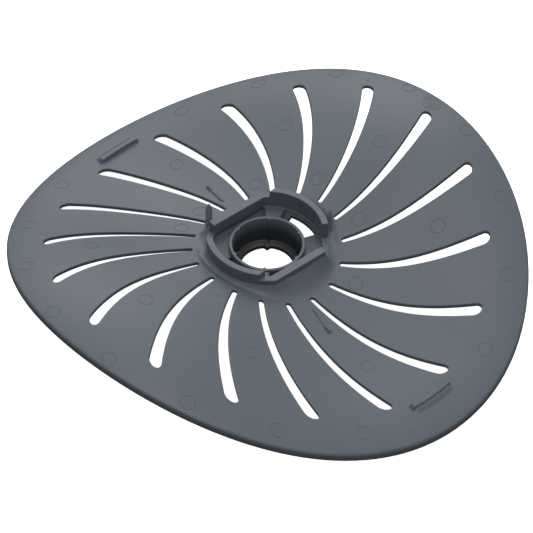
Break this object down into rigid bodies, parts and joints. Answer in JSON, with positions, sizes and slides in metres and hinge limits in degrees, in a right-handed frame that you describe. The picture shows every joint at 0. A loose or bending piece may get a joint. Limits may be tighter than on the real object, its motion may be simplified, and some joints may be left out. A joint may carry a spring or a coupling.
{
  "type": "blade cover plate",
  "caption": "Round saddle-shaped plastic plate with swirling drain slots and a keyed hub socket, which covers the knife of a mixing bowl.",
  "frame": {"origin": "on the hub axis, at the level of the lowest points of the rim", "axes": "+Z along the hub axis, out of the side with the collar, which faces up as pictured; +Y away from the picture's viewer"},
  "size_m": [0.146, 0.1444, 0.0274],
  "materials": {
    "matte_grey_plastic": "satin moulded",
    "hub_grey_plastic": "satin moulded, in the same colour as the plate"
  },
  "bodies": {
    "root": {"cover_plate": "matte_grey_plastic", "rim_bead": "matte_grey_plastic", "hub_flange": "matte_grey_plastic", "hub_floor_nw": "hub_grey_plastic", "hub_floor_se": "hub_grey_plastic", "centre_sleeve": "hub_grey_plastic", "collar_arc_sw": "hub_grey_plastic", "collar_arc_ne": "hub_grey_plastic", "collar_straight_se": "hub_grey_plastic", "collar_straight_nw": "hub_grey_plastic", "hub_web_n": "hub_grey_plastic", "hub_web_s": "hub_grey_plastic", "gate_tab_w": "hub_grey_plastic", "gate_tab_e": "hub_grey_plastic", "grip_bar_se": "matte_grey_plastic", "grip_bar_nw": "matte_grey_plastic", "rest_rib_se": "matte_grey_plastic", "rest_rib_nw": "matte_grey_plastic"}
  },
  "joints": []
}
